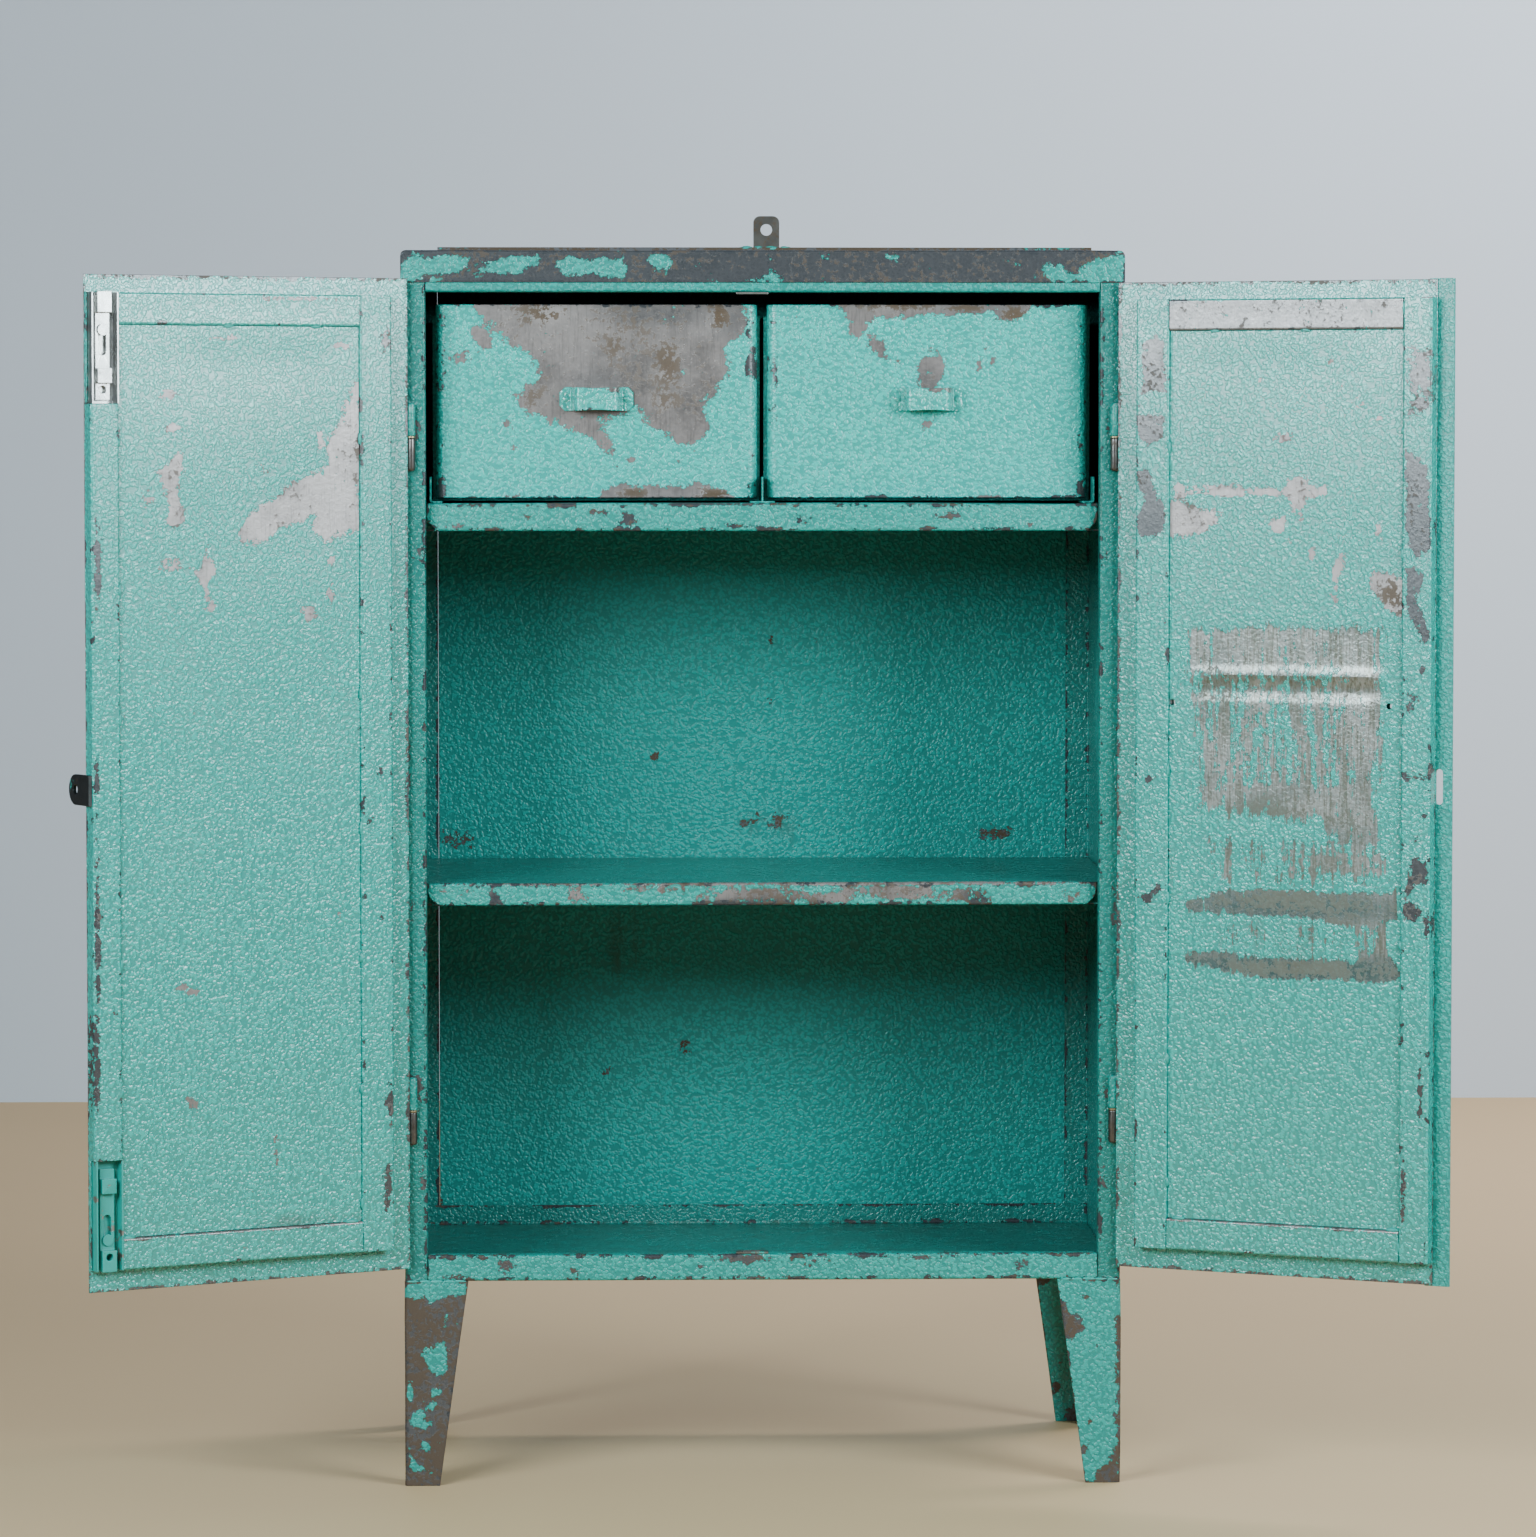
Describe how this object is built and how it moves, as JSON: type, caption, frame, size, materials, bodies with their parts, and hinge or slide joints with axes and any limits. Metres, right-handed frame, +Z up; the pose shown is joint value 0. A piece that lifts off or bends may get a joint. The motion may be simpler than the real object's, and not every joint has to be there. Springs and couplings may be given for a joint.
{
  "type": "filing cabinet",
  "caption": "Steel two-door filing cabinet on tapered legs, with drawers under the top, an open shelf, flush bolts and a padlock staple; doors stand open.",
  "frame": {"origin": "middle of the footprint of everything with the doors open, on the floor", "axes": "+Z up, +X to the viewer's right when facing the doors, -Y out of the front of the case"},
  "size_m": [1.3082, 0.5754, 1.246],
  "materials": {
    "case_paint": "teal hammered enamel, chipped",
    "door_paint": "light turquoise hammered enamel, chipped",
    "drawer_paint": "teal hammered enamel, flaking",
    "inner_paint": "dark teal enamel, matt with age",
    "worn_steel": "bare steel with paint remnants",
    "bright_steel": "bright worn steel",
    "dark_steel": "dark bare steel",
    "washer_brass": "dull yellow metal"
  },
  "bodies": {
    "case": {"back_panel": "case_paint", "bottom_bolt_keeper": "worn_steel", "centre_runner": "inner_paint", "drawer_deck": "case_paint", "floor_tray": "inner_paint", "front_left_leg": "case_paint", "front_right_leg": "case_paint", "hanging_tab": "case_paint", "header_rail": "case_paint", "left_lower_hinge_post": "dark_steel", "left_lower_hinge_washer": "washer_brass", "left_runner": "inner_paint", "left_shelf_angle": "inner_paint", "left_side_panel": "case_paint", "left_upper_hinge_post": "dark_steel", "left_upper_hinge_washer": "washer_brass", "middle_shelf": "case_paint", "rear_left_leg": "case_paint", "rear_right_leg": "case_paint", "right_lower_hinge_post": "dark_steel", "right_lower_hinge_washer": "washer_brass", "right_runner": "inner_paint", "right_shelf_angle": "inner_paint", "right_side_panel": "case_paint", "right_upper_hinge_post": "dark_steel", "right_upper_hinge_washer": "washer_brass", "top_bolt_keeper": "worn_steel", "top_cap": "worn_steel"},
    "left_door": {"left_door_bottom_bolt_body": "bright_steel", "left_door_bottom_strip": "door_paint", "left_door_hinge_stile": "door_paint", "left_door_inner_panel": "door_paint", "left_door_lock_stile": "door_paint", "left_door_lower_barrel": "door_paint", "left_door_padlock_staple": "dark_steel", "left_door_skin": "door_paint", "left_door_top_bolt_body": "bright_steel", "left_door_top_strip": "door_paint", "left_door_upper_barrel": "door_paint"},
    "right_door": {"right_door_bottom_strip": "door_paint", "right_door_edge_strip": "door_paint", "right_door_hinge_stile": "door_paint", "right_door_inner_panel": "door_paint", "right_door_lock_stile": "door_paint", "right_door_lower_barrel": "door_paint", "right_door_skin": "door_paint", "right_door_top_strip": "door_paint", "right_door_upper_barrel": "door_paint"},
    "left_drawer": {"left_drawer_box": "case_paint", "left_drawer_front": "drawer_paint", "left_drawer_handle": "drawer_paint"},
    "right_drawer": {"right_drawer_box": "case_paint", "right_drawer_front": "drawer_paint", "right_drawer_handle": "drawer_paint"},
    "top_bolt": {"left_door_top_bolt_slide": "bright_steel"},
    "bottom_bolt": {"left_door_bottom_bolt_slide": "bright_steel"}
  },
  "joints": [
    {"name": "left_door_hinge", "type": "hinge", "parent": "case", "child": "left_door", "pos_m": [-0.33488, -0.1053, 0.7], "axis": [0, 0, -1], "range_deg": [-151, 24]},
    {"name": "right_door_hinge", "type": "hinge", "parent": "case", "child": "right_door", "pos_m": [0.34512, -0.1053, 0.7], "axis": [0, 0, 1], "range_deg": [-153, 22]},
    {"name": "left_drawer_slide", "type": "slide", "parent": "case", "child": "left_drawer", "axis": [0, -1, 0], "range_m": [0, 0.27]},
    {"name": "right_drawer_slide", "type": "slide", "parent": "case", "child": "right_drawer", "axis": [0, -1, 0], "range_m": [0, 0.27]},
    {"name": "top_bolt_slide", "type": "slide", "parent": "left_door", "child": "top_bolt", "axis": [0, 0, 1], "range_m": [0, 0.015]},
    {"name": "bottom_bolt_slide", "type": "slide", "parent": "left_door", "child": "bottom_bolt", "axis": [0, 0, -1], "range_m": [0, 0.015]}
  ]
}
